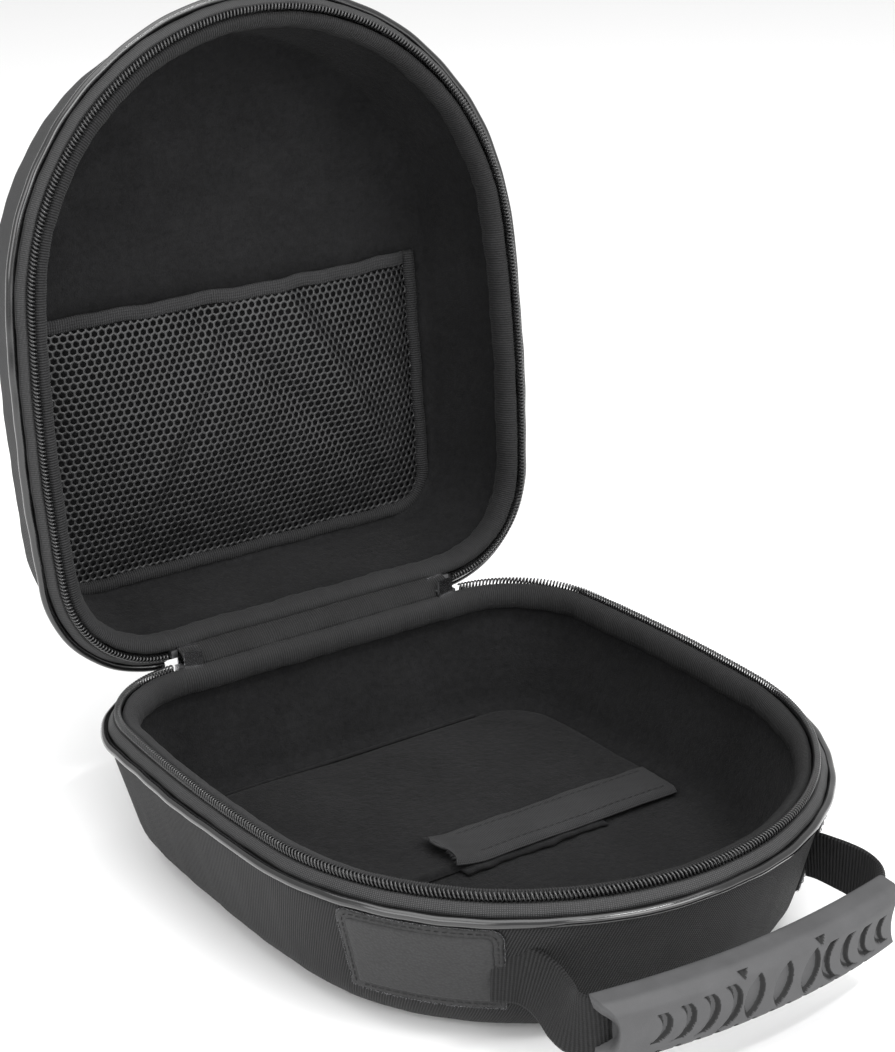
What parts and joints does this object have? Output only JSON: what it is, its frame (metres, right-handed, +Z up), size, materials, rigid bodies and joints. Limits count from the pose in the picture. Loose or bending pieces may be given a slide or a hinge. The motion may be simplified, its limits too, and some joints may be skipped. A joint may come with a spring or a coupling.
{
  "type": "headphone carrying case",
  "caption": "D-shaped hard carrying case with a zip round its rim, open lid with a net pocket, padded floor flap and a rubber-gripped strap handle at the front.",
  "frame": {"origin": "on the floor, in the middle of the base", "axes": "+X along the hinge, -Y towards the handle, +Z up"},
  "size_m": [0.2194, 0.333, 0.2937],
  "materials": {
    "cover_twill": "woven twill",
    "shell_foam": "moulded foam board",
    "lining_fleece": "short fleece",
    "binding_ribbon": "ribbed grosgrain",
    "piping_vinyl": "glossy",
    "zip_tape": "woven tape",
    "zip_nylon": "nylon coil",
    "zip_metal": "plated",
    "hinge_fabric": "woven strip",
    "pocket_mesh": "open mesh",
    "pocket_elastic": "elastic band",
    "patch_leather": "grained",
    "patch_face": "smooth",
    "webbing": "ribbed webbing",
    "grip_rubber": "matte",
    "flap_fleece": "short fleece",
    "flap_ribbon": "ribbed ribbon"
  },
  "bodies": {
    "base": {"base_shell": "shell_foam", "base_cover": "cover_twill", "base_lining": "lining_fleece", "base_binding": "binding_ribbon", "base_piping": "piping_vinyl", "base_zip_tape": "zip_tape", "base_zip_coil": "zip_nylon", "base_zip_stops": "zip_metal", "base_hinge_leaf": "hinge_fabric", "slider_left": "zip_metal", "slider_right": "zip_metal", "label_patch": "patch_leather", "label_panel": "patch_face", "anchor_patch": "patch_leather", "strap_tab_left": "webbing", "strap_tab_right": "webbing", "flap_seam": "flap_fleece"},
    "lid": {"lid_shell": "shell_foam", "lid_cover": "cover_twill", "lid_lining": "lining_fleece", "lid_binding": "binding_ribbon", "lid_piping": "piping_vinyl", "lid_zip_tape": "zip_tape", "lid_zip_coil": "zip_nylon", "lid_zip_stops": "zip_metal", "lid_hinge_leaf": "hinge_fabric", "pocket_net": "pocket_mesh", "pocket_hem": "pocket_elastic", "pocket_binding": "binding_ribbon"},
    "handle": {"strap_left": "webbing", "strap_right": "webbing", "handle_grip": "grip_rubber"},
    "flap": {"floor_flap": "flap_fleece", "flap_hem": "flap_ribbon", "flap_underlay": "flap_fleece"},
    "pull_left": {"pull_left": "zip_metal"},
    "pull_right": {"pull_right": "zip_metal"}
  },
  "joints": [
    {"name": "lid_hinge", "type": "hinge", "parent": "base", "child": "lid", "pos_m": [0, 0.115, 0.0583], "axis": [1, 0, 0], "range_deg": [0, 94.4]},
    {"name": "handle_swing", "type": "hinge", "parent": "base", "child": "handle", "pos_m": [0, -0.093, 0.031], "axis": [-1, 0, 0], "range_deg": [-20, 18]},
    {"name": "flap_lift", "type": "hinge", "parent": "base", "child": "flap", "pos_m": [0, 0.0976, 0.0073], "axis": [-1, 0, 0], "range_deg": [0, 45]},
    {"name": "pull_left_swing", "type": "hinge", "parent": "base", "child": "pull_left", "pos_m": [-0.05494, 0.11859, 0.0549], "axis": [0.9863, -0.165, 0], "range_deg": [0, 60]},
    {"name": "pull_right_swing", "type": "hinge", "parent": "base", "child": "pull_right", "pos_m": [0.05494, 0.11859, 0.0549], "axis": [0.9863, 0.165, 0], "range_deg": [0, 60]}
  ]
}
